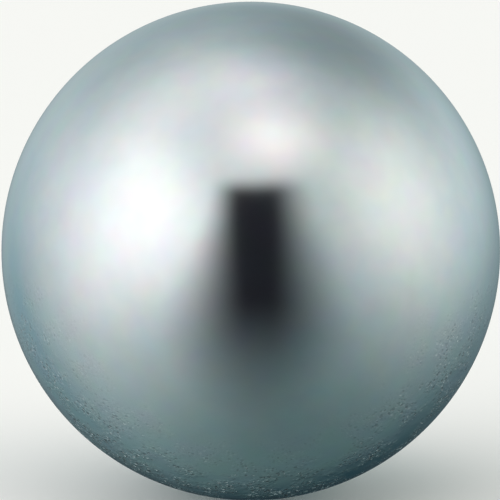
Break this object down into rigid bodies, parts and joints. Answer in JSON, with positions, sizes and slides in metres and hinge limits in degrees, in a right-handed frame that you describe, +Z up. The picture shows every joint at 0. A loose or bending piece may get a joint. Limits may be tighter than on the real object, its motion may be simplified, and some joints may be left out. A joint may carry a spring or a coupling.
{
  "type": "steel ball",
  "caption": "Solid round ball of polished steel that rolls, or seats in a cup, groove or socket.",
  "frame": {"origin": "centre of the ball", "axes": "+Z up. Every line through the origin is an axis of symmetry. The seat is the ball's lowest point, on -Z."},
  "size_m": [0.0254, 0.0254, 0.0254],
  "materials": {
    "polished_steel": "hardened, ground and lapped bare steel with a soft mirror polish and fine specks low down"
  },
  "bodies": {
    "root": {"ball": "polished_steel"}
  },
  "joints": []
}
